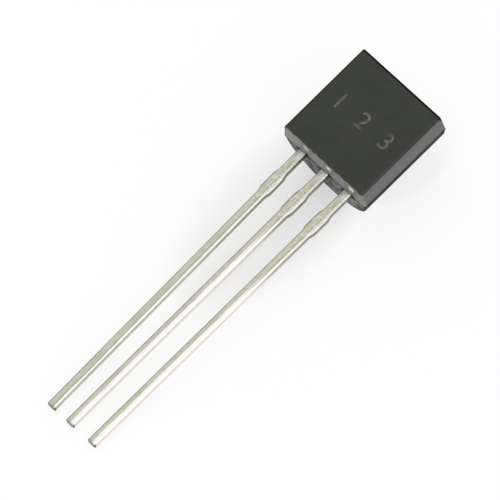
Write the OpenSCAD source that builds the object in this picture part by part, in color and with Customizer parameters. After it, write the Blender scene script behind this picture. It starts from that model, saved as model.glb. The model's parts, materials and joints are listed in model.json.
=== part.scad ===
// Three-lead transistor in a moulded D-shaped body, lying on its round back.
// Each piece is drawn upright in its own plane and then laid down: X across the leads,
// Y up the body from the end that the leads leave, Z out through the flat.
// Z = 0 is the parting line, which is level with the front of the leads.

/* [Moulded body] */
// Width of the front half across the parting line
body_w = 4.56; // [4.3:0.02:4.8]
// Height along the leads, at the parting line
body_h = 4.6; // [4.3:0.05:5]
// Depth of the front half, from the parting line to the flat
front_d = 1.2; // [1:0.05:1.5]
// Draft of the front half's two long sides, in degrees
front_draft = 5; // [2:0.5:8]
// Draft of the front half's two ends, in degrees
end_draft = 2; // [0.5:0.5:6]
// Draft of the round back's two ends, in degrees
back_draft = 1.5; // [0.5:0.5:6]
// Radius of the flat's two long edges
flat_edge_r = 0.14; // [0.06:0.02:0.3]
// How far the front half stands proud of the round back, all round the parting line
mould_step = 0.025; // [0.01:0.005:0.05]

/* [Mould marks] */
// Width of the stub left at the gate, on the end away from the leads
gate_w = 1.1; // [0.6:0.1:1.6]
// Thickness of the gate stub, down from the parting line
gate_t = 0.26; // [0.15:0.01:0.4]
// How far the gate stub stands out
gate_stub = 0.06; // [0.02:0.01:0.12]
// Diameter of the ejector pin's mark on the round back
ejector_d = 1.5; // [1:0.1:1.7]
// Depth of the ejector mark below the crown of the back
ejector_depth = 0.16; // [0.14:0.01:0.25]
// Height of the ejector mark's centre up the body
ejector_y = 2.5; // [2:0.1:3]

/* [Leads] */
// Distance between neighbouring leads where they leave the body
pitch = 1.27; // [1.15:0.01:1.35]
// Width of a lead
lead_w = 0.4; // [0.36:0.01:0.5]
// Thickness of a lead, which is the thickness of the strip
lead_t = 0.38; // [0.3:0.01:0.45]
// Length of a lead from the body to its tip
lead_len = 14.45; // [12.7:0.05:15]
// Width across the stubs left by the cut tie bar
tie_w = 0.52; // [0.5:0.01:0.6]
// Distance from the body to the near end of the tie bar stubs
tie_at = 1.35; // [0.8:0.05:2]
// Length of the tie bar stubs along the lead
tie_len = 0.8; // [0.5:0.05:1.2]
// Length over which a stub runs out into the lead
tie_blend = 0.22; // [0.1:0.02:0.4]
// Lean of the emitter lead towards the middle, in degrees
emitter_toe = 0.9; // [0:0.1:1.5]
// Lean of the collector lead towards the middle, in degrees
collector_toe = 0.2; // [0:0.1:1.5]

/* [Inside the body] */
// Width of the shoulders that lock a lead into the moulding
lock_w = 0.62; // [0.52:0.02:0.7]
// Height of the locking shoulders
lock_h = 0.3; // [0.2:0.02:0.4]
// Height of the shoulders' lower edge up the body
lock_y = 0.5; // [0.4:0.05:0.6]
// Width of a bond post
post_w = 0.76; // [0.6:0.02:0.8]
// Height of a bond post
post_h = 0.6; // [0.5:0.02:0.65]
// Height of the base post's lower edge up the body
base_post_y = 1.2; // [1.1:0.05:1.25]
// Height of the emitter post's lower edge up the body
emitter_post_y = 2.25; // [1.5:0.05:2.6]
// Gap between the chip's pad and the posts beside it
pad_gap = 0.4; // [0.3:0.02:0.45]
// Height of the pad that carries the chip
pad_h = 1.45; // [1.2:0.05:1.5]
// How far the pad reaches past the outer edge of its lead
pad_lip = 0.12; // [0.05:0.01:0.2]
// Diameter of the hole that keys the pad into the moulding
key_d = 0.45; // [0.3:0.05:0.5]
// Distance from the key hole's centre to the pad's outer edge
key_inset = 0.4; // [0.35:0.01:0.45]
// Side of the square chip
chip_w = 0.42; // [0.3:0.02:0.5]
// Thickness of the chip
chip_t = 0.2; // [0.15:0.01:0.25]
// How far the solder shows round the chip
solder_lip = 0.03; // [0.02:0.01:0.05]
// Thickness of the solder under the chip
solder_t = 0.03; // [0.02:0.01:0.05]

/* [Bond wires] */
// Diameter of a bond wire
wire_d = 0.04; // [0.03:0.005:0.05]
// Diameter of the ball that starts a wire on the chip
ball_d = 0.1; // [0.08:0.01:0.12]
// Height of the flattened ball
ball_h = 0.03; // [0.02:0.005:0.04]
// Straight rise of a wire above its ball
wire_rise = 0.14; // [0.08:0.01:0.2]
// Bend radius of a wire at the top of its loop
wire_bend = 0.1; // [0.06:0.01:0.15]
// Diameter of the stitch that ends a wire on its post
stitch_d = 0.12; // [0.1:0.01:0.14]
// Thickness of the stitch
stitch_h = 0.015; // [0.01:0.005:0.02]

/* [Hidden] */
$fn = 96;

// Room by which cutting shapes run past what they cut
over = 1;
front_r = body_w / 2;
back_r = front_r - mould_step;
front_inset = front_d * tan(front_draft);
back_inset = mould_step + back_r * tan(back_draft);

// Where the three leads leave the body
emitter_x = -pitch;
base_x = 0;
collector_x = pitch;

// The chip's pad fills the room that the posts leave
pad_left = emitter_x + post_w / 2 + pad_gap;
pad_right = collector_x + lead_w / 2 + pad_lip;
pad_y = base_post_y + post_h + pad_gap;
chip_x = pad_left + pad_h / 2;
chip_y = pad_y + pad_h / 2;
chip_top = solder_t + chip_t;

// A hair over the wire, for the beads that join the stretches of a wire
joint_d = wire_d * 1.03;

// The chip's two bonding areas, each towards its own post
emitter_bond = [chip_x - chip_w / 5, chip_y + chip_w / 5];
base_bond = [chip_x + chip_w / 5, chip_y - chip_w / 5];
emitter_stitch = [emitter_x, emitter_post_y + post_h / 2];
base_stitch = [base_x, base_post_y + post_h / 2];

// The part lies on its lead tips and on the lower end of its round back
rest_tilt = atan((back_r - lead_t) / (lead_len + back_inset));
tip_reach = lead_len * cos(rest_tilt);
gate_reach = (body_h + gate_stub) * cos(rest_tilt) + gate_t * sin(rest_tilt);
back_reach = (body_h - back_inset) * cos(rest_tilt) + back_r * sin(rest_tilt);
rest_y = (tip_reach - max(gate_reach, back_reach)) / 2;
rest_z = lead_len * sin(rest_tilt) + lead_t * cos(rest_tilt);

// Lays an upright piece down, with the origin under the middle of the whole part
module at_rest() {
    translate([0, rest_y, rest_z])
        rotate([rest_tilt, 0, 0])
            children();
}

// Cross-section of the body: a drafted flat front on a slightly narrower half-round back
module d_section() {
    flat_x = front_r - front_inset;
    edge_x = flat_x - flat_edge_r * (1 - sin(front_draft)) / cos(front_draft);
    edge_y = front_d - flat_edge_r;
    side_x = edge_x + flat_edge_r * cos(front_draft);
    side_y = edge_y + flat_edge_r * sin(front_draft);
    polygon([[-front_r, 0], [front_r, 0], [side_x, side_y], [edge_x, front_d],
             [-edge_x, front_d], [-side_x, side_y]]);
    for (side = [-1, 1])
        translate([side * edge_x, edge_y])
            circle(r = flat_edge_r);
    intersection() {
        circle(r = back_r);
        translate([-back_r - over, -back_r - over])
            square([2 * (back_r + over), back_r + over]);
    }
}

// Side outline of the body: the draft of each mould half, and the step between them
module end_drafts() {
    front_run = (front_d + over) * tan(end_draft);
    back_run = mould_step + (back_r + over) * tan(back_draft);
    polygon([[0, 0], [front_run, front_d + over], [body_h - front_run, front_d + over],
             [body_h, 0], [body_h - mould_step, 0], [body_h - back_run, -back_r - over],
             [back_run, -back_r - over], [mould_step, 0]]);
}

module body_block() {
    difference() {
        intersection() {
            translate([0, body_h + over, 0])
                rotate([90, 0, 0])
                    linear_extrude(body_h + 2 * over)
                        d_section();
            translate([-front_r - over, 0, 0])
                rotate([90, 0, 90])
                    linear_extrude(2 * (front_r + over))
                        end_drafts();
        }
        translate([0, ejector_y, -back_r - over])
            cylinder(d = ejector_d, h = over + ejector_depth);
    }
    translate([-gate_w / 2, body_h - over, -gate_t])
        cube([gate_w, over + gate_stub, gate_t]);
}

// Outline of a lead as steps along it: distance outwards from the body, then its reach
// to the left and to the right of the lead's middle
function across(distance, width) = [distance, width / 2, width / 2];

outer_steps = [across(0, lead_w),
               across(tie_at - tie_blend, lead_w),
               across(tie_at, tie_w),
               across(tie_at + tie_len, tie_w),
               across(tie_at + tie_len + tie_blend, lead_w),
               across(lead_len, lead_w)];

lock_steps = [across(-lock_y - lock_h, lead_w),
              across(-lock_y - lock_h, lock_w),
              across(-lock_y, lock_w),
              across(-lock_y, lead_w)];

function post_steps(y) = [across(-y - post_h, post_w),
                          across(-y, post_w),
                          across(-y, lead_w)];

pad_steps = [[-pad_y - pad_h, collector_x - pad_left, pad_right - collector_x],
             [-pad_y, collector_x - pad_left, pad_right - collector_x],
             across(-pad_y, lead_w)];

// A lead stamped from the strip, leaning only where it is outside the body
module lead_blank(x, toe, head_steps) {
    steps = concat(head_steps, lock_steps, outer_steps);
    last = len(steps) - 1;
    middle = [for (step = steps) x + max(step[0], 0) * tan(toe)];
    right = [for (i = [0:last]) [middle[i] + steps[i][2], -steps[i][0]]];
    left = [for (i = [last:-1:0]) [middle[i] - steps[i][1], -steps[i][0]]];
    translate([0, 0, -lead_t])
        linear_extrude(lead_t)
            polygon(concat(right, left));
}

module emitter_blank() {
    lead_blank(emitter_x, emitter_toe, post_steps(emitter_post_y));
}

module base_blank() {
    lead_blank(base_x, 0, post_steps(base_post_y));
}

module collector_blank() {
    difference() {
        lead_blank(collector_x, -collector_toe, pad_steps);
        translate([pad_right - key_inset, chip_y, -lead_t - over])
            cylinder(d = key_d, h = lead_t + 2 * over);
    }
}

module solder_layer() {
    side = chip_w + 2 * solder_lip;
    translate([chip_x - side / 2, chip_y - side / 2, 0])
        cube([side, side, solder_t]);
}

module chip_block() {
    translate([chip_x - chip_w / 2, chip_y - chip_w / 2, solder_t])
        cube([chip_w, chip_w, chip_t]);
}

// A wire from a ball on the chip, up, over one bend and straight down to its stitch
module bond_wire(bond, stitch) {
    run = norm(stitch - bond);
    heading = atan2(stitch[1] - bond[1], stitch[0] - bond[0]);
    bend_z = chip_top + ball_h + wire_rise;
    fall = atan(bend_z / (run - wire_bend))
         + asin(wire_bend / norm([run - wire_bend, bend_z]));
    leave_x = wire_bend * (1 + sin(fall));
    leave_z = bend_z + wire_bend * cos(fall);
    length = norm([run - leave_x, leave_z]);
    translate([bond[0], bond[1], 0])
        rotate([0, 0, heading]) {
            translate([0, 0, chip_top])
                cylinder(d = ball_d, h = ball_h);
            translate([0, 0, chip_top + ball_h / 2])
                cylinder(d = wire_d, h = wire_rise + ball_h / 2);
            translate([wire_bend, 0, bend_z])
                rotate([90, 0, 180])
                    rotate_extrude(angle = 90 + fall)
                        translate([wire_bend, 0])
                            circle(d = wire_d);
            difference() {
                translate([leave_x, 0, leave_z])
                    rotate([0, 90 + fall, 0])
                        cylinder(d = wire_d, h = length + wire_d);
                translate([0, -wire_d, -2 * wire_d])
                    cube([run + over, 2 * wire_d, 2 * wire_d]);
            }
            for (joint = [[0, bend_z], [leave_x, leave_z]])
                translate([joint[0], 0, joint[1]])
                    sphere(d = joint_d);
            translate([run, 0, 0])
                cylinder(d = stitch_d, h = stitch_h);
        }
}

module moulded_body() {
    color("#3c3c38")
        at_rest()
            difference() {
                body_block();
                emitter_blank();
                base_blank();
                collector_blank();
                solder_layer();
                chip_block();
                bond_wire(emitter_bond, emitter_stitch);
                bond_wire(base_bond, base_stitch);
            }
}

module emitter_lead() {
    color("#c8c8b4")
        at_rest()
            emitter_blank();
}

module base_lead() {
    color("#c8c8b4")
        at_rest()
            base_blank();
}

module collector_lead() {
    color("#c8c8b4")
        at_rest()
            collector_blank();
}

module chip_solder() {
    color("#a8a8a0")
        at_rest()
            solder_layer();
}

module transistor_chip() {
    color("#50505c")
        at_rest()
            chip_block();
}

module emitter_wire() {
    color("#d8aa4a")
        at_rest()
            bond_wire(emitter_bond, emitter_stitch);
}

module base_wire() {
    color("#d8aa4a")
        at_rest()
            bond_wire(base_bond, base_stitch);
}

moulded_body();
emitter_lead();
base_lead();
collector_lead();
chip_solder();
transistor_chip();
emitter_wire();
base_wire();
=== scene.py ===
import json
import math
from types import SimpleNamespace

import bmesh
import bpy
from mathutils import Matrix, Vector, noise


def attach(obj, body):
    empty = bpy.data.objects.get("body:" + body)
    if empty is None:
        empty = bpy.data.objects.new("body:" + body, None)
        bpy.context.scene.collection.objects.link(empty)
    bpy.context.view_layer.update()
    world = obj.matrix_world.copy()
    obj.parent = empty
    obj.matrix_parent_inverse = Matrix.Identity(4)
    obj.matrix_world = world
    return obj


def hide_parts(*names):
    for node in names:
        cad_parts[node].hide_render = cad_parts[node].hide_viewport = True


bl_info = {
    "name": "Three-lead transistor",
    "version": (1, 0, 0),
    "blender": (4, 5, 0),
    "location": "3D View > Sidebar > Transistor",
    "description": "Builds the looks of a small moulded transistor round its packed solids",
    "category": "Add Mesh",
}

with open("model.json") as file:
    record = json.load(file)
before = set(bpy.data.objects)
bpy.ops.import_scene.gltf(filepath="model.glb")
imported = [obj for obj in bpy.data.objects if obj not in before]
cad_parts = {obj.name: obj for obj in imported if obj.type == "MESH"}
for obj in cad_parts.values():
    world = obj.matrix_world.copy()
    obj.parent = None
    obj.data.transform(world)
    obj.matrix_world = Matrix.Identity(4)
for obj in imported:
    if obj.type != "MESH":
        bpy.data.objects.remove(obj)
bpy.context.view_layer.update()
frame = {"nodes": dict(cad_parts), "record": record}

# Pieces are shaped in millimetres, upright, and then laid down in metres
MM = 0.001
ZERO = Vector((0, 0, 0))
MOUNTS = {mount["name"]: mount for mount in frame["record"]["mounts"]}
LEADS = {
    "emitter_lead": MOUNTS["emitter_tip"],
    "base_lead": MOUNTS["base_tip"],
    "collector_lead": MOUNTS["collector_tip"],
}
INNER_PIECES = ("chip_solder", "transistor_chip", "emitter_wire", "base_wire")

# Tolerances in millimetres: for points that coincide, for points on a cutting plane, for points
# that count as level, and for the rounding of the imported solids' meshes
COINCIDE = 1e-5
ON_PLANE = 1e-4
LEVEL = 1e-3
ROUNDING = 5e-4

# Angles in degrees: edges above the first are rounded, edges up to the second are shaded smooth,
# and faces that meet at less than the third are one flat face
SHARP = 40
SMOOTH_UP_TO = 35
FLAT_UP_TO = 0.5

# A lead's width in millimetres, a figure's height as a share of its font's size, and how far the
# mould step reaches below the parting line as a share of its width
LEAD_WIDTH = 0.4
FIGURE_SHARE = 0.73
STEP_REACH = 0.6

# How far from the body, in millimetres, each lead's painted highlight streak starts to widen
HIGHLIGHT_FROM = {"emitter_lead": 30.0, "base_lead": 2.5, "collector_lead": 4.0}

# Patches on the body's lead end, in millimetres across and up: the middle, how far it is full,
# and how far it reaches. Across is from the body's middle, or from a lead's; up is from the
# parting line
STAIN_AT_LEFT = (-1.75, -0.3), (0.1, 0.2), (0.4, 0.5)
STAIN_BY_LEAD = (0.33, -0.4), (0.1, 0.25), (0.3, 0.6)
# Beside each lead, a patch of painted shade
SHADE_PATCH_BY_LEAD = (0.27, 0.08), (0.06, 0.08), (0.12, 0.18)
# Beside each lead, a near-white spot
PALE_SPOT_BY_LEAD = (0.28, 0.84), (0.08, 0.1), (0.16, 0.2)

# Where the floor's shadow is deeper: the middle and radii of an oval in millimetres, and where
# it starts and ends to fade, as squares of shares of the radii
SHADE_BY_LEADS = (-0.9, -2.5), (2.2, 4.0), 0.25, 2.25
SHADE_BY_BODY = (1.6, 3.2), (1.0, 2.0), 0.6, 1.7

# How deep the shadow by the body is, as a share of the one by the leads
DEPTH_BY_BODY = 0.28

# Soft boxes: azimuth and elevation in degrees, distance and width in millimetres
RIGHT_BOX = 80, 50, 500, 300
TOP_BOX = 262, 60, 520, 240


def box_round(points):
    """Lowest and highest corner of the box round a list of points."""
    low = Vector(min(p[axis] for p in points) for axis in range(3))
    high = Vector(max(p[axis] for p in points) for axis in range(3))
    return low, high


def node_box(node, matrix):
    """Lowest and highest corner of a CAD node, seen through a matrix."""
    return box_round([matrix @ v.co for v in frame["nodes"][node].data.vertices])


def find_rest():
    """Matrix from the upright millimetre frame to the frame in which the part lies.

    Upright, X runs across the leads, Y up the body from its lead end, and Z out through
    the flat, with zero at the parting line.
    """
    outward = Vector(MOUNTS["flat"]["axis"])
    lean = Matrix.Rotation(math.atan2(-outward.y, outward.z), 4, "X")
    lead_top = node_box("base_lead", lean.inverted())[1].z
    lead_end = node_box("moulded_body", lean.inverted())[0].y
    return lean @ Matrix.Translation((0, lead_end, lead_top)) @ Matrix.Scale(MM, 4)


REST = find_rest()
UPRIGHT = REST.inverted()

# Places on the upright part: the body's box, its end without the stub left at the gate, the
# flat's height, and the height of a lead's back
BODY_LOW, BODY_HIGH = node_box("moulded_body", UPRIGHT)
GATE_STUB = 0.06
BODY_END = BODY_HIGH.y - GATE_STUB
FLAT = BODY_HIGH.z
LEAD_BACK = node_box("base_lead", UPRIGHT)[0].z


def lead_line(tip):
    """Where a lead leaves the body, the way it runs from there, and how far to its tip."""
    along = (UPRIGHT.to_3x3() @ Vector(tip["axis"])).normalized()
    end = UPRIGHT @ Vector(tip["pos_m"])
    reach = end.y / along.y
    return end - along * reach, along, reach


def lead_frame(tip):
    """Frame of one lead: X across it, Y along it towards the body, Z out of its front."""
    leaves_body, along, _ = lead_line(tip)
    front = Vector((0, 0, 1))
    across = front.cross(along)
    axes = Matrix((across, -along, front)).transposed().to_4x4()
    return REST @ Matrix.Translation((leaves_body.x, 0, 0)) @ axes


def length(name, description, millimetres):
    """A length that a user can set, with its default given in millimetres."""
    return bpy.props.FloatProperty(
        name=name, description=description, default=millimetres * MM,
        min=0, unit="LENGTH", precision=6)


def turn(name, description, degrees):
    """An angle that a user can set, with its default given in degrees."""
    return bpy.props.FloatProperty(
        name=name, description=description, default=math.radians(degrees), subtype="ANGLE")


def colour(name, description, default):
    """A linear colour that a user can set."""
    return bpy.props.FloatVectorProperty(
        name=name, description=description, default=default,
        size=3, min=0, max=1, subtype="COLOR")


def share(name, description, default):
    """A share, from 0 to 1."""
    return bpy.props.FloatProperty(
        name=name, description=description, default=default, min=0, max=1)


class BodySizes(bpy.types.PropertyGroup):
    width: length("Width", "Width across the parting line", BODY_HIGH.x - BODY_LOW.x)
    height: length("Height", "Height at the parting line", BODY_END)
    front_depth: length("Front depth", "Depth from the parting line to the flat", FLAT)
    back_depth: length("Back depth", "Depth from the parting line to the crown", -BODY_LOW.z)
    front_draft: turn("Front draft", "Draft of the front half's two long sides", 5)
    end_draft: turn("End draft", "Draft of the front half's two ends", 2)
    back_draft: turn("Back draft", "Draft of the round back's two ends", 1.5)
    long_edge: length("Long edges", "Radius of the flat's two long edges", 0.14)
    edge: length("Other edges", "Radius of the other moulded edges", 0.035)
    mould_step: length("Mould step", "How far the front half stands proud of the back", 0.025)
    gate_width: length("Gate width", "Width of the stub left at the gate", 1.1)
    gate_depth: length("Gate depth", "Thickness of the gate stub", 0.26)
    gate_stub: length("Gate stub", "How far the gate stub stands out", GATE_STUB)
    ejector_width: length("Ejector mark", "Diameter of the mark on the round back", 1.5)
    ejector_depth: length("Ejector depth", "Depth of the mark below the crown", 0.16)
    ejector_height: length("Ejector height", "Height of the mark's centre up the body", 2.5)
    back_segments: bpy.props.IntProperty(
        name="Back segments", description="Segments round the half-round back",
        default=72, min=8, max=200)


class LeadSizes(bpy.types.PropertyGroup):
    corner: length("Corners", "Radius of the tinned corners along a lead", 0.085)
    cut_edge: length("Cut edges", "Radius of the edges at the cut tips", 0.02)
    rounded_up_to: length("Rounded up to", "How far inside the body the corners are round", 0.25)
    tip_band: length("Tip band", "Edges this near to the tip's end belong to the cut", 0.02)


class PinNumbers(bpy.types.PropertyGroup):
    height: length("Height", "Height of a figure", 0.78)
    bolder: length("Bolder", "How much bolder a stroke is than the plain figure's", 0.006)
    thickness: length("Thickness", "How far a figure stands on the flat", 0.004)
    row: length("Row", "Height of the figures' middle up the body", 2.35)


class Finishes(bpy.types.PropertyGroup):
    compound: colour("Moulding compound", "Colour of the body", (0.007, 0.0095, 0.0045))
    compound_light: colour("Light compound", "Its lighter mottles", (0.014, 0.017, 0.010))
    # The long sides and the lead end are matt, and lightened by a painted sheen
    side: colour("Long side", "Matt long sides of the front half, lightened by a painted sheen", (0.075, 0.08, 0.078))
    side_dark: colour("Dark side", "Darker mottles of the sides and ends", (0.05, 0.052, 0.048))
    end: colour("End", "Matt lead end of the front half, lightened by a painted sheen", (0.185, 0.19, 0.18))
    end_left: colour("Left of end", "The end's paler left corner, of painted sheen", (0.27, 0.255, 0.205))
    # A painted highlight along the flat's edge above the leads
    worn: colour("Edge highlight", "Painted highlight along the flat's edge above the leads", (0.22, 0.22, 0.17))
    # Black for the painted shade on the body's edges, gaps and parting line
    resin_skin: colour("Painted shade", "Black of the painted shade on edges, gaps and the parting line", (0.002, 0.002, 0.002))
    # The round back's lead end is painted a dim grey sheen
    back_end: colour("Back end", "Lead end of the round back, a painted dim sheen", (0.078, 0.075, 0.082))
    back_end_dark: colour("Dark back end", "Dark blots there", (0.012, 0.011, 0.008))
    stain: colour("Stain", "Resin and flux stain beside the leads", (0.21, 0.12, 0.07))
    # A near-white spot beside each lead
    nick: colour("Pale spot", "Near-white spot beside each lead", (0.9, 0.89, 0.7))
    tin: colour("Tin", "Colour of the tinned face", (0.6, 0.6, 0.5))
    # Painted highlights on the tin
    tin_bright: colour("Tin highlight", "Colour of the painted highlights on the tin", (0.93, 0.93, 0.9))
    tin_dull: colour("Dull tin", "Colour of dull, oxidised tin", (0.37, 0.365, 0.28))
    # Painted shade along a lead's edges
    bare_edge: colour("Shaded edge", "Painted shade along a lead's edges", (0.2, 0.18, 0.15))
    cut: colour("Cut tip", "Bare rim of a cut tip", (0.12, 0.115, 0.08))
    copper: colour("Copper blush", "Warm tint of thin tin over copper", (0.88, 0.64, 0.56))
    figures: colour("Figures", "Colour of the pin numbers", (0.115, 0.107, 0.076))
    solder: colour("Solder", "Colour of the chip's solder", (0.45, 0.45, 0.43))
    silicon: colour("Silicon", "Colour of the chip", (0.12, 0.12, 0.15))
    gold: colour("Gold", "Colour of the bond wires", (0.8, 0.6, 0.22))


class StudioSizes(bpy.types.PropertyGroup):
    field: length("Field", "Width of the picture at the part", 19.9)
    distance: length("Distance", "From the camera to the part", 600)
    nearest: length("Nearest", "Where the camera starts to see", 10)
    farthest: length("Farthest", "Where the camera ceases to see", 10000)
    azimuth: turn("Azimuth", "Where the camera stands round the part", 45.094)
    elevation: turn("Elevation", "How high the camera stands", 65.442)
    aim_height: length("Aim height", "Height of the point that the camera is aimed near", 2)
    aim_right: length("Aim to the right", "Shift of the aim to the right", 0.41)
    aim_up: length("Aim up", "Shift of the aim up the picture", 0.045)
    floor_width: length("Floor width", "Side of the square floor", 1600)
    floor_colour: colour("Floor", "Colour of the floor", (0.97, 0.97, 0.975))
    floor_shine: share("Floor shine", "Share of the floor's white that it gives by itself", 0.86)
    shaded_shine: share("Shaded shine", "The same share where the shadow is deepest", 0.45)
    sky_light: share("Sky light", "Share of the light that comes from all round", 0.8)
    right_light: share("Right light", "Share that comes from the soft box on the right", 0.1)
    top_light: share("Top light", "Share that comes from the soft box high on the left", 0.1)


def in_mm(group):
    """A property group's values, with its lengths in millimetres."""
    values = {}
    for name, prop in group.bl_rna.properties.items():
        if prop.type in ("FLOAT", "INT"):
            value = getattr(group, name)
            values[name] = value / MM if prop.unit == "LENGTH" else value
    return SimpleNamespace(**values)


class Value:
    """One output of a node tree, with arithmetic that adds Math nodes."""

    def __init__(self, nodes, socket):
        self.nodes = nodes
        self.socket = socket

    def math(self, operation, *others):
        """The value that a Math node makes of this one and others."""
        return self.nodes.add("Math", {"operation": operation}, dict(enumerate((self, *others))))

    def __add__(self, other):
        return self.math("ADD", other)

    def __radd__(self, other):
        return self.math("ADD", other)

    def __sub__(self, other):
        return self.math("SUBTRACT", other)

    def __rsub__(self, other):
        return self.nodes.add("Math", {"operation": "SUBTRACT"}, {0: other, 1: self})

    def __mul__(self, other):
        return self.math("MULTIPLY", other)

    def __rmul__(self, other):
        return self.math("MULTIPLY", other)

    def __truediv__(self, other):
        return self.math("DIVIDE", other)

    def __rtruediv__(self, other):
        return self.nodes.add("Math", {"operation": "DIVIDE"}, {0: other, 1: self})

    def __abs__(self):
        return self.math("ABSOLUTE")

    def at_least(self, other):
        return self.math("MAXIMUM", other)

    def at_most(self, other):
        return self.math("MINIMUM", other)

    def rises(self, low, high):
        """0 up to low, 1 from high, and smooth between."""
        return self.nodes.add(
            "MapRange", {"interpolation_type": "SMOOTHSTEP"},
            {"Value": self, "From Min": low, "From Max": high})

    def falls(self, low, high):
        """1 up to low, 0 from high, and smooth between."""
        return 1 - self.rises(low, high)

    def near(self, middle, full, none):
        """1 as far as full from the middle, 0 from none on, and smooth between."""
        return abs(self - middle).falls(full, none)

    def part(self, axis):
        """One coordinate of a vector: X, Y or Z."""
        split = self.nodes.add("SeparateXYZ", sockets={"Vector": self})
        return Value(self.nodes, split.socket.node.outputs[axis])


class Nodes:
    """The nodes of a material or of the world."""

    def __init__(self, owner):
        owner.use_nodes = True
        self.owner = owner
        self.tree = owner.node_tree
        self.tree.nodes.clear()

    def add(self, kind, settings=None, sockets=None, output=0):
        """Adds a node of a kind: its settings first, then its sockets' values and links."""
        node = self.tree.nodes.new("ShaderNode" + kind)
        for name, value in (settings or {}).items():
            setattr(node, name, value)
        for name, value in (sockets or {}).items():
            if isinstance(value, Value):
                self.tree.links.new(value.socket, node.inputs[name])
            else:
                node.inputs[name].default_value = value
        return Value(self, node.outputs[output]) if node.outputs else node

    def place(self, matrix):
        """Object coordinates seen from a frame in millimetres."""
        coordinates = self.add("TexCoord", output="Object")
        return self.add(
            "Mapping", {"vector_type": "TEXTURE"},
            {"Vector": coordinates, "Location": matrix.translation,
             "Rotation": matrix.to_euler(), "Scale": (MM, MM, MM)})

    def facing(self):
        """The way that the surface faces, in the part's frame."""
        return self.add("NewGeometry", output="Normal")

    def seen(self):
        """1 for the rays that the eye follows straight, in gloss or through glass."""
        rays = [self.add("LightPath", output="Is " + kind + " Ray")
                for kind in ("Camera", "Glossy", "Transmission")]
        return rays[0].at_least(rays[1]).at_least(rays[2])

    def stretch(self, vector, amounts):
        """A vector with each coordinate multiplied by its own amount."""
        return self.add("VectorMath", {"operation": "MULTIPLY"}, {0: vector, 1: amounts})

    def speckle(self, vector, scale=1.0, detail=2.0, roughness=0.5):
        """Noise from about 0.2 to 0.8, with its scale in waves to the millimetre."""
        return self.add(
            "TexNoise", {"noise_dimensions": "3D"},
            {"Vector": vector, "Scale": scale, "Detail": detail, "Roughness": roughness})

    def mix(self, amount, first, second):
        """Goes from the first colour to the second as the amount goes from 0 to 1."""
        colours = [c if isinstance(c, Value) else (*c, 1) for c in (first, second)]
        return self.add(
            "Mix", {"data_type": "RGBA"}, {0: amount, 6: colours[0], 7: colours[1]}, output=2)

    def bump(self, height, distance):
        """A surface normal from a height of 0 to 1, which stands for a distance in millimetres."""
        return self.add(
            "Bump", sockets={"Height": height, "Distance": distance * MM, "Strength": 1.0})

    def surface(self, **sockets):
        """A Principled BSDF; its sockets' names have _ for a space."""
        named = {name.replace("_", " "): value for name, value in sockets.items()}
        return self.add("BsdfPrincipled", sockets=named)

    def finish_with(self, shader):
        """Joins a shader to the output."""
        kind = "OutputWorld" if isinstance(self.owner, bpy.types.World) else "OutputMaterial"
        self.add(kind, sockets={"Surface": shader})


def new_nodes(name):
    """The nodes of a new material."""
    return Nodes(bpy.data.materials.new(name))


def patch(across, up, middle, full, reach):
    """1 up to full from the middle on each axis, 0 from reach on, and smooth between."""
    return across.near(middle[0], full[0], reach[0]) * up.near(middle[1], full[1], reach[1])


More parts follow.
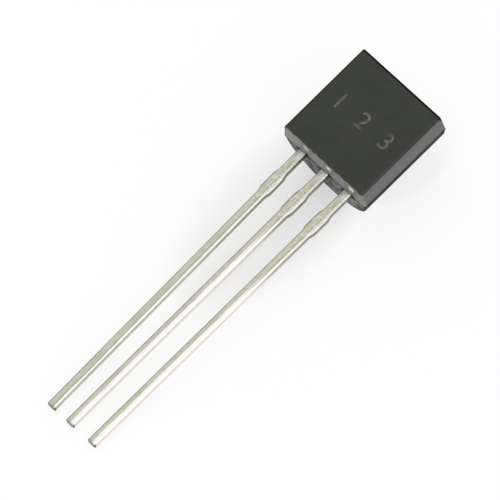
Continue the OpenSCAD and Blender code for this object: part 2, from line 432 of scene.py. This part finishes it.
def compound_material(finishes):
    """Dark moulding compound: even on the flat, with painted sheen on its sides and painted shade
    on its edges, stained by the leads.
    """
    nodes = new_nodes("moulding compound")
    at = nodes.place(REST)
    x, y, z = at.part("X"), at.part("Y"), at.part("Z")
    cloud = nodes.speckle(at, 0.9, 4.0, 0.6)
    grain = nodes.speckle(at, 9.0, 3.0, 0.6)
    pores = nodes.speckle(at, 26.0, 2.0)
    blots = nodes.speckle(at, 2.6, 3.0, 0.5)
    blotted = blots.falls(0.44, 0.56)
    mottle = cloud * 0.5 + grain * 0.5
    base = nodes.mix(mottle.rises(0.36, 0.66), finishes.compound, finishes.compound_light)

    # Matt walls of the front half, lightened by a painted sheen, and a painted highlight along the
    # flat's edge above the leads
    at_end = y.falls(0.08, 0.14)
    end = nodes.mix(x.falls(-2.1, -1.3), finishes.end, finishes.end_left)
    wall = nodes.mix(at_end, finishes.side, end)
    uneven = (blots.rises(0.4, 0.6) * at_end * 0.55).at_least(mottle.falls(0.4, 0.6) * 0.3)
    wall = nodes.mix(uneven, wall, finishes.side_dark)
    on_wall = z.falls(FLAT - 0.12, FLAT - 0.04) * z.rises(-0.02, 0.02)
    base = nodes.mix(on_wall, base, wall)
    # Painted highlight along the flat's edge above the leads, broken by blots
    worn = z.near(FLAT - 0.07, 0.03, 0.08) * y.falls(0.06, 0.12) * blots.rises(0.4, 0.52)
    base = nodes.mix(worn, base, finishes.worn)

    # What each lead has beside it: painted shade in the gap and in a patch, a stain and a pale
    # spot, more so from left to right
    shade_at_leads = 0
    nick = 0
    stain = patch(x, z, *STAIN_AT_LEFT) * 0.6
    half_thickness = -LEAD_BACK / 2
    beyond_lead = abs(z + half_thickness) - half_thickness
    for number, tip in enumerate(LEADS.values()):
        from_lead = x - lead_line(tip)[0].x
        beside_lead = abs(from_lead) - LEAD_WIDTH / 2 - 0.12
        shade_at_leads = shade_at_leads + beside_lead.at_least(beyond_lead).falls(0.03, 0.1)
        shade_at_leads = shade_at_leads + patch(from_lead, z, *SHADE_PATCH_BY_LEAD)
        stain = stain + patch(from_lead, z, *STAIN_BY_LEAD) * (0.3 + 0.35 * number)
        ragged_x = from_lead + (grain - 0.5) * 0.3
        ragged_z = z + (pores - 0.5) * 0.5
        nick = nick + patch(ragged_x, ragged_z, *PALE_SPOT_BY_LEAD) * (0.5 + 0.4 * number)

    # The back half's lead end, a painted dim sheen with dark blots, over which the stains and the
    # pale spots go
    back_end = at_end * z.falls(-0.06, 0)
    back_end_tone = nodes.mix(blotted, finishes.back_end, finishes.back_end_dark)
    base = nodes.mix(back_end, base, back_end_tone)
    base = nodes.mix((stain * at_end).at_most(1) * grain.rises(0.3, 0.5), base, finishes.stain)
    base = nodes.mix((nick * at_end).at_most(1), base, finishes.nick)
    compound = nodes.surface(
        Base_Color=base,
        Roughness=0.36 + mottle * 0.12,
        IOR=1.5,
        Normal=nodes.bump(grain * 0.5 + pores * 0.5, 0.004))

    # Painted black shade: on the flat's far edges, by the parting line, in the gaps, below the
    # parting line and on the back's rim and blots
    far_edges = x.falls(-2.12, -2.07).at_least(y.rises(BODY_END - 0.15, BODY_END - 0.12))
    far_edges = z.rises(0.9, 1.05) * far_edges
    parting = z.rises(-0.1, -0.06) * z.falls(0.07, 0.13)
    below_parting = z.rises(-0.9, -0.6) * z.falls(-0.02, 0) * y.rises(0.1, 0.2)
    back_rim = back_end * (x * x + z * z).rises(4.1, 4.8).at_least(blotted * 0.6)
    black = (far_edges * 0.9).at_least(parting * 0.85).at_least((shade_at_leads * at_end).at_most(0.9))
    black = black.at_least((below_parting + back_rim) * 0.75)
    shade_surface = nodes.surface(Base_Color=(*finishes.resin_skin, 1), Roughness=0.7, IOR=1.15)
    nodes.finish_with(nodes.add("MixShader", sockets={0: black, 1: compound, 2: shade_surface}))
    return nodes.owner


def tin_material(node, tip, finishes):
    """Tinned strip: dull and streaky on top, with painted highlights along one side and painted
    shade at its edges, bare where it was cut.

    Across the strip, its left edge lies at -0.2 and its right edge at 0.2 millimetres.
    """
    nodes = new_nodes("tinned strip, " + node.replace("_", " "))
    at = nodes.place(lead_frame(tip))
    x = at.part("X")
    away = 0 - at.part("Y")
    facing = nodes.facing()
    sideways = facing.part("X")
    upward = facing.part("Z")
    streaks = nodes.speckle(nodes.stretch(at, (9.0, 0.7, 9.0)), 1.0, 4.0, 0.65)
    blotches = nodes.speckle(nodes.stretch(at, (3.0, 1.0, 3.0)), 1.0, 3.0)
    pits = nodes.speckle(nodes.stretch(at, (14.0, 5.0, 14.0)), 1.0, 3.0, 0.6)

    # Stretches along the lead: near the body, past the tie bar's stubs, and the outer part
    near_body = away.falls(0.5, 7.0)
    rough_part = away.falls(2.6, 4.6)
    outer = away.rises(HIGHLIGHT_FROM[node], HIGHLIGHT_FROM[node] + 2.5)
    inner = 1 - outer
    wander = x + (blotches - 0.5) * 0.08 + (pits - 0.5) * (0.06 + rough_part * 0.06)

    # The dull face, with painted shade as a dark line beside the highlight streak and along the
    # left edge
    dull = streaks.rises(0.42, 0.62) * 0.35 + pits.rises(0.46, 0.6) * (0.2 + rough_part * 0.15)
    dull = dull.at_least(wander.near(0.06, 0.01, 0.035) * inner * 0.9)
    dull = dull.at_least(x.falls(-0.19, -0.14)).at_most(1)
    base = nodes.mix(dull, finishes.tin, finishes.tin_dull)

    # Painted highlights: the bright streak, bright glints, and the bright right half where the
    # lead leaves the body
    top = upward.rises(0.4, 0.7)
    highlight_streak = wander.rises(0.085, 0.11) * inner * (0.62 - near_body * 0.2)
    highlight_streak = highlight_streak + wander.rises(-0.02, 0.04) * outer
    glints = pits.falls(0.36, 0.44) * rough_part * 0.5
    glints = glints.at_least(away.falls(0.2, 0.6) * x.rises(-0.08, 0.02) * 0.8)
    base = nodes.mix((top * highlight_streak).at_least(top * glints), base, finishes.tin_bright)

    # The sides: painted shade near the body and along the left corner, and farther out a painted
    # highlight with a copper lower edge
    left_corner_shade = sideways.falls(-0.5, -0.2) * upward.rises(0.1, 0.3)
    base = nodes.mix(left_corner_shade * 0.6, base, finishes.bare_edge)
    shaded_side = sideways.rises(0.75, 0.95)
    base = nodes.mix(shaded_side * (near_body * 0.85), base, finishes.bare_edge)
    base = nodes.mix(outer * sideways.rises(0.3, 0.6), base, finishes.tin_bright)
    low_edge = at.part("Z").falls(LEAD_BACK + 0.22, LEAD_BACK + 0.3)
    base = nodes.mix(outer * sideways.rises(0.4, 0.7) * low_edge * 0.9, base, finishes.copper)

    # The cut tip, with its darker rim
    reach = lead_line(tip)[2]
    rim = x.falls(-0.2, -0.16).at_least(x.rises(0.16, 0.2)).at_least(upward.falls(0.3, 0.8))
    cut = away.rises(reach - 0.1, reach - 0.05) * (0.35 + rim * 0.6)
    base = nodes.mix(cut.at_most(1), base, finishes.cut)
    nodes.finish_with(nodes.surface(
        Base_Color=base,
        Metallic=1.0,
        Roughness=0.24 + streaks * 0.16 + pits * 0.1,
        Normal=nodes.bump(streaks * 0.4 + pits * 0.6, 0.012)))
    return nodes.owner


def figure_material(finishes):
    """The pale burnt line of a laser marking."""
    nodes = new_nodes("pin figures")
    at = nodes.place(REST)
    worn = nodes.speckle(at, 4.0, 3.0, 0.6)
    nodes.finish_with(nodes.surface(
        Base_Color=nodes.mix(worn.rises(0.3, 0.6), finishes.compound_light, finishes.figures),
        Roughness=0.6,
        Normal=nodes.bump(nodes.speckle(at, 30.0), 0.003)))
    return nodes.owner


def inner_material(name, base_colour, metallic, roughness, scale):
    """Plain finish of a piece that the moulding hides, with a fine grain."""
    nodes = new_nodes(name)
    grain = nodes.speckle(nodes.place(REST), scale, 3.0)
    darker = tuple(part * 0.7 for part in base_colour)
    nodes.finish_with(nodes.surface(
        Base_Color=nodes.mix(grain.rises(0.35, 0.65), darker, tuple(base_colour)),
        Metallic=metallic,
        Roughness=roughness + grain * 0.15,
        Normal=nodes.bump(grain, 0.001)))
    return nodes.owner


def oval(at, middle, radii, full, none):
    """1 in an oval across the part's X and Y, 0 outside it, and smooth between."""
    across = (at.part("X") - middle[0]) / radii[0]
    along = (at.part("Y") - middle[1]) / radii[1]
    return (across * across + along * along).falls(full, none)


def floor_material(studio):
    """Pale card that looks almost white, and keeps a soft shadow, deepest by the part."""
    nodes = new_nodes("floor card")
    at = nodes.place(REST)
    shaded = oval(at, *SHADE_BY_LEADS).at_least(oval(at, *SHADE_BY_BODY) * DEPTH_BY_BODY)
    shine = studio.floor_shine - shaded * (studio.floor_shine - studio.shaded_shine)
    card = nodes.add("BsdfDiffuse", sockets={"Color": (*studio.floor_colour, 1)})
    white = nodes.add("Emission", sockets={"Color": (1, 1, 1, 1), "Strength": 1.0})
    nodes.finish_with(nodes.add("MixShader", sockets={
        0: nodes.seen() * shine, 1: card, 2: white}))
    return nodes.owner


def sharp_edges(bm):
    """The edges between two faces that turn sharply."""
    limit = math.radians(SHARP)
    return [e for e in bm.edges if len(e.link_faces) == 2 and e.calc_face_angle(0) > limit]


def spans(edge, axis):
    """How far an edge reaches along an axis."""
    return abs(edge.verts[0].co[axis] - edge.verts[1].co[axis])


def all_of(bm):
    """Everything in a mesh, as its operators take it."""
    return [*bm.verts, *bm.edges, *bm.faces]


def cut_plane(bm, place, normal, clear_outer=False):
    """Cuts a mesh at a plane, and clears what lies on the plane's outer side if asked."""
    bmesh.ops.bisect_plane(
        bm, geom=all_of(bm), dist=ON_PLANE, plane_co=place, plane_no=normal,
        clear_outer=clear_outer)


def round_edges(bm, edges, radius, segments):
    """Rounds some edges of a mesh."""
    bmesh.ops.bevel(
        bm, geom=edges, offset=radius, segments=segments, profile=0.5,
        affect="EDGES", clamp_overlap=True, material=-1)


def in_scene(name, data):
    """A new object with its data, linked to the scene."""
    made = bpy.data.objects.new(name, data)
    bpy.context.scene.collection.objects.link(made)
    return made


def new_object(name, bm):
    """A new object with a bmesh, which is used up, as its mesh."""
    mesh = bpy.data.meshes.new(name)
    bm.to_mesh(mesh)
    bm.free()
    return in_scene(name, mesh)


def final_mesh(made):
    """A new mesh of an object as it is with its modifiers, or of a text."""
    depsgraph = bpy.context.evaluated_depsgraph_get()
    return bpy.data.meshes.new_from_object(made.evaluated_get(depsgraph))


def cut_with(target, cutter, operation):
    """Joins or cuts a piece with another, which is used up."""
    modifier = target.modifiers.new(operation.title(), "BOOLEAN")
    modifier.operation = operation
    modifier.solver = "EXACT"
    modifier.object = cutter
    mesh = final_mesh(target)
    target.modifiers.clear()
    target.data = mesh
    bpy.data.objects.remove(cutter)


def lay_down(piece, material):
    """Puts a piece that was shaped upright where it rests, with its material and shading."""
    mesh = piece.data
    mesh.transform(REST)
    mesh.materials.clear()
    mesh.materials.append(material)
    mesh.polygons.foreach_set("use_smooth", [True] * len(mesh.polygons))
    mesh.set_sharp_from_angle(angle=math.radians(SMOOTH_UP_TO))
    weighted = piece.modifiers.new("Weighted normals", "WEIGHTED_NORMAL")
    weighted.keep_sharp = True


def copy_of_node(node):
    """A CAD node's own mesh, upright in millimetres, with its flat faces whole again."""
    bm = bmesh.new()
    bm.from_mesh(frame["nodes"][node].data)
    bmesh.ops.transform(bm, verts=bm.verts, matrix=UPRIGHT)
    bmesh.ops.remove_doubles(bm, verts=bm.verts, dist=ROUNDING)
    bmesh.ops.dissolve_limit(
        bm, verts=bm.verts, edges=bm.edges, angle_limit=math.radians(FLAT_UP_TO))
    return bm


def back_half(size):
    """The round back, cut flat at the parting line, with its two ends drafted."""
    radius = size.width / 2
    bm = bmesh.new()
    bmesh.ops.create_cone(
        bm, cap_ends=True, segments=2 * size.back_segments,
        radius1=radius, radius2=radius, depth=size.height)
    bmesh.ops.rotate(bm, verts=bm.verts, cent=ZERO, matrix=Matrix.Rotation(math.pi / 2, 3, "X"))
    cut_plane(bm, ZERO, (0, 0, 1), clear_outer=True)
    for vert in bm.verts:
        vert.co.y -= math.copysign(vert.co.z * math.tan(size.back_draft), vert.co.y)
    return bm


def body_shell(size):
    """The outside of the moulding: the round back, the drafted front and the mould step."""
    bm = back_half(size)
    rim = [e for e in bm.edges if e.is_boundary]
    raised = bmesh.ops.extrude_edge_only(bm, edges=rim)["geom"]
    top = [g for g in raised if isinstance(g, bmesh.types.BMVert)]
    narrowing = 2 * size.front_depth * math.tan(size.front_draft)
    shortening = 2 * size.front_depth * math.tan(size.end_draft)
    bmesh.ops.scale(
        bm, verts=top, vec=(1 - narrowing / size.width, 1 - shortening / size.height, 1))
    bmesh.ops.translate(bm, verts=top, vec=(0, 0, size.front_depth))
    bmesh.ops.contextual_create(bm, geom=[g for g in raised if isinstance(g, bmesh.types.BMEdge)])
    bmesh.ops.recalc_face_normals(bm, faces=bm.faces)
    long_edges = [
        e for e in sharp_edges(bm)
        if all(v.co.z > size.front_depth - LEVEL for v in e.verts) and spans(e, 0) < LEVEL]
    round_edges(bm, long_edges, size.long_edge, segments=6)
    round_edges(bm, sharp_edges(bm), size.edge, segments=3)
    step_end = -STEP_REACH * size.mould_step
    cut_plane(bm, ZERO, (0, 0, 1))
    cut_plane(bm, (0, 0, step_end), (0, 0, 1))
    below = [v for v in bm.verts if v.co.z < step_end + LEVEL]
    narrower = 1 - size.mould_step / (size.width / 2)
    shorter = 1 - size.mould_step / (size.height / 2)
    shallower = size.back_depth / (size.width / 2)
    bmesh.ops.scale(bm, verts=below, vec=(narrower, shorter, shallower))
    bmesh.ops.translate(bm, verts=bm.verts, vec=(0, size.height / 2, 0))
    return bm


def gate_stub(size):
    """The stub left where the runner broke off, with a rough broken face."""
    # How far it reaches into the body in millimetres, the depth of the broken face's hollows as
    # a share of the stub, and their waves to the millimetre
    inside = 0.5
    hollows = 0.6
    waves = 7
    bm = bmesh.new()
    bmesh.ops.create_cube(bm, size=1)
    bmesh.ops.scale(
        bm, verts=bm.verts, vec=(size.gate_width, inside + size.gate_stub, size.gate_depth))
    bmesh.ops.translate(
        bm, verts=bm.verts,
        vec=(0, size.height + (size.gate_stub - inside) / 2, -size.gate_depth / 2))
    for axis, cuts in ((0, 21), (2, 5)):
        bmesh.ops.subdivide_edges(
            bm, edges=[e for e in bm.edges if spans(e, axis) > LEVEL],
            cuts=cuts, use_grid_fill=True)
    broken = size.height + size.gate_stub
    for vert in bm.verts:
        if vert.co.y > broken - ON_PLANE:
            vert.co.y -= size.gate_stub * hollows * abs(noise.noise(vert.co * waves))
    return bm


def ejector_pin(size):
    """The cylinder that cuts the ejector pin's mark."""
    pin_length = 2
    middle = size.ejector_depth - size.back_depth - pin_length / 2
    bm = bmesh.new()
    bmesh.ops.create_cone(
        bm, cap_ends=True, segments=64, radius1=size.ejector_width / 2,
        radius2=size.ejector_width / 2, depth=pin_length)
    bmesh.ops.translate(bm, verts=bm.verts, vec=(0, size.ejector_height, middle))
    return bm


def edges_below(bm, height):
    """The sharp edges that lie below a height up the body."""
    return [e for e in sharp_edges(bm) if all(v.co.y < height for v in e.verts)]


def rounded_lead(node, size):
    """A lead as it was stamped, with the rounded corners that the tinning leaves."""
    bm = copy_of_node(node)
    cut_plane(bm, (0, size.rounded_up_to, 0), (0, 1, 0))
    tip_end = min(v.co.y for v in bm.verts) + size.tip_band
    at_tip = edges_below(bm, tip_end)
    along = [
        e for e in edges_below(bm, size.rounded_up_to + LEVEL)
        if e not in at_tip and spans(e, 2) < LEVEL]
    round_edges(bm, along, size.corner, segments=5)
    round_edges(bm, edges_below(bm, tip_end), size.cut_edge, segments=2)
    return bm


class TRANSISTOR_OT_leads(bpy.types.Operator):
    """Makes the three tinned leads from their CAD nodes"""
    bl_idname = "transistor.leads"
    bl_label = "Leads"

    def execute(self, context):
        size = in_mm(context.scene.transistor_leads)
        finishes = context.scene.transistor_finishes
        for node, tip in LEADS.items():
            piece = new_object("tinned_" + node, rounded_lead(node, size))
            lay_down(piece, tin_material(node, tip, finishes))
            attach(piece, "root")
            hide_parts(node)
        return {"FINISHED"}


class TRANSISTOR_OT_moulded_body(bpy.types.Operator):
    """Makes the moulded body, with its mould marks and the room for what it holds"""
    bl_idname = "transistor.moulded_body"
    bl_label = "Moulded body"

    def execute(self, context):
        size = in_mm(context.scene.transistor_body)
        lead_size = in_mm(context.scene.transistor_leads)
        piece = new_object("body_moulding", body_shell(size))
        cut_with(piece, new_object("gate", gate_stub(size)), "UNION")
        cut_with(piece, new_object("ejector", ejector_pin(size)), "DIFFERENCE")
        for node in (*LEADS, *INNER_PIECES):
            room = rounded_lead(node, lead_size) if node in LEADS else copy_of_node(node)
            if node.endswith("_wire"):
                # A hair lower, so that no face of the room lies level with a lead's face
                bmesh.ops.translate(room, verts=room.verts, vec=(0, 0, -ROUNDING))
            cut_with(piece, new_object(node + "_room", room), "DIFFERENCE")
        lay_down(piece, compound_material(context.scene.transistor_finishes))
        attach(piece, "root")
        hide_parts("moulded_body")
        return {"FINISHED"}


class TRANSISTOR_OT_pin_numbers(bpy.types.Operator):
    """Marks the flat with the number of each pin, over its lead"""
    bl_idname = "transistor.pin_numbers"
    bl_label = "Pin numbers"

    def execute(self, context):
        size = in_mm(context.scene.transistor_numbers)
        body = in_mm(context.scene.transistor_body)
        bm = bmesh.new()
        for number, tip in enumerate(LEADS.values(), start=1):
            lead_x = lead_line(tip)[0].x
            mesh = self.figure(str(number), size)
            low, high = box_round([v.co for v in mesh.vertices])
            middle = (low + high) / 2
            mesh.transform(Matrix.Translation(
                (lead_x - middle.x, size.row - middle.y, body.front_depth - low.z)))
            bm.from_mesh(mesh)
            bpy.data.meshes.remove(mesh)
        bmesh.ops.remove_doubles(bm, verts=bm.verts, dist=COINCIDE)
        piece = new_object("pin_numbers", bm)
        lay_down(piece, figure_material(context.scene.transistor_finishes))
        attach(piece, "root")
        return {"FINISHED"}

    def figure(self, text, size):
        """One figure as a thin closed mesh in millimetres."""
        curve = bpy.data.curves.new("figure", "FONT")
        curve.body = text
        curve.size = size.height / FIGURE_SHARE
        curve.offset = size.bolder
        curve.extrude = size.thickness / 2
        holder = in_scene("figure", curve)
        mesh = final_mesh(holder)
        bpy.data.objects.remove(holder)
        bpy.data.curves.remove(curve)
        return mesh


class TRANSISTOR_OT_inner_pieces(bpy.types.Operator):
    """Gives the chip, its solder and the bond wires their finishes"""
    bl_idname = "transistor.inner_pieces"
    bl_label = "Inner pieces"

    def execute(self, context):
        finishes = context.scene.transistor_finishes
        solder = inner_material(
            "chip solder", finishes.solder, metallic=1.0, roughness=0.4, scale=8.0)
        silicon = inner_material(
            "silicon", finishes.silicon, metallic=0.0, roughness=0.12, scale=5.0)
        gold = inner_material(
            "gold wire", finishes.gold, metallic=1.0, roughness=0.2, scale=20.0)
        given = {
            "chip_solder": solder,
            "transistor_chip": silicon,
            "emitter_wire": gold,
            "base_wire": gold,
        }
        for node, material in given.items():
            slots = frame["nodes"][node].material_slots
            if not slots:
                raise RuntimeError(f"{node} has no material slot")
            for slot in slots:
                slot.material = material
        return {"FINISHED"}


class TRANSISTOR_OT_studio(bpy.types.Operator):
    """Makes the pale floor, the soft lights and the camera"""
    bl_idname = "transistor.studio"
    bl_label = "Studio"

    def execute(self, context):
        studio = context.scene.transistor_studio
        size = in_mm(studio)
        bm = bmesh.new()
        bmesh.ops.create_grid(bm, x_segments=1, y_segments=1, size=studio.floor_width / 2)
        floor = new_object("floor", bm)
        floor.data.materials.append(floor_material(studio))
        self.sky(studio)
        self.soft_box("right soft box", studio.right_light, *RIGHT_BOX)
        self.soft_box("top soft box", studio.top_light, *TOP_BOX, in_gloss=False)
        self.camera(size)
        context.scene.view_settings.view_transform = "Standard"
        return {"FINISHED"}

    def sky(self, studio):
        """Even light from all round, which shows white to the eye and in gloss."""
        world = bpy.data.worlds.new("studio")
        nodes = Nodes(world)
        strength = studio.sky_light + nodes.seen() * (1 - studio.sky_light)
        nodes.finish_with(nodes.add("Background", sockets={
            "Color": (1, 1, 1, 1), "Strength": strength}))
        bpy.context.scene.world = world

    def direction(self, azimuth, elevation):
        """Unit vector from the part to what stands at an azimuth and elevation."""
        return Vector((
            math.sin(azimuth) * math.cos(elevation),
            -math.cos(azimuth) * math.cos(elevation),
            math.sin(elevation)))

    def soft_box(self, name, light_share, azimuth, elevation, distance, width, in_gloss=True):
        """A square lamp that gives the floor a share of its light."""
        towards = self.direction(math.radians(azimuth), math.radians(elevation))
        lamp = bpy.data.lights.new(name, "AREA")
        lamp.shape = "SQUARE"
        lamp.size = width * MM
        reach = distance * MM
        lamp.energy = light_share * (math.pi * reach) ** 2 / towards.z
        holder = in_scene(name, lamp)
        holder.location = towards * reach
        holder.rotation_euler = towards.to_track_quat("Z", "Y").to_euler()
        holder.visible_camera = False
        holder.visible_glossy = in_gloss

    def camera(self, size):
        """A long lens at the photograph's angle."""
        towards = self.direction(size.azimuth, size.elevation)
        right = Vector((math.cos(size.azimuth), math.sin(size.azimuth), 0))
        up = towards.cross(right)
        aim = Vector((0, 0, size.aim_height)) + right * size.aim_right + up * size.aim_up
        camera = bpy.data.cameras.new("camera")
        camera.lens = camera.sensor_width * size.distance / size.field
        camera.clip_start = size.nearest * MM
        camera.clip_end = size.farthest * MM
        holder = in_scene("camera", camera)
        holder.location = (aim + towards * size.distance) * MM
        holder.rotation_euler = towards.to_track_quat("Z", "Y").to_euler()
        bpy.context.scene.camera = holder


class TRANSISTOR_PT_panel(bpy.types.Panel):
    """Buttons that make the transistor piece by piece"""
    bl_idname = "TRANSISTOR_PT_panel"
    bl_label = "Transistor"
    bl_space_type = "VIEW_3D"
    bl_region_type = "UI"
    bl_category = "Transistor"

    def draw(self, context):
        for operator in OPERATORS:
            self.layout.operator(operator.bl_idname)


GROUPS = {
    "transistor_body": BodySizes,
    "transistor_leads": LeadSizes,
    "transistor_numbers": PinNumbers,
    "transistor_finishes": Finishes,
    "transistor_studio": StudioSizes,
}
OPERATORS = (
    TRANSISTOR_OT_studio,
    TRANSISTOR_OT_leads,
    TRANSISTOR_OT_moulded_body,
    TRANSISTOR_OT_pin_numbers,
    TRANSISTOR_OT_inner_pieces,
)


def register():
    for group in GROUPS.values():
        bpy.utils.register_class(group)
    for name, group in GROUPS.items():
        setattr(bpy.types.Scene, name, bpy.props.PointerProperty(type=group))
    for made in (*OPERATORS, TRANSISTOR_PT_panel):
        bpy.utils.register_class(made)


def unregister():
    for made in (*OPERATORS, TRANSISTOR_PT_panel):
        bpy.utils.unregister_class(made)
    for name in GROUPS:
        delattr(bpy.types.Scene, name)
    for group in GROUPS.values():
        bpy.utils.unregister_class(group)


def main():
    register()
    bpy.ops.transistor.studio()
    bpy.ops.transistor.leads()
    bpy.ops.transistor.moulded_body()
    bpy.ops.transistor.pin_numbers()
    bpy.ops.transistor.inner_pieces()


if __name__ == "__main__":
    main()
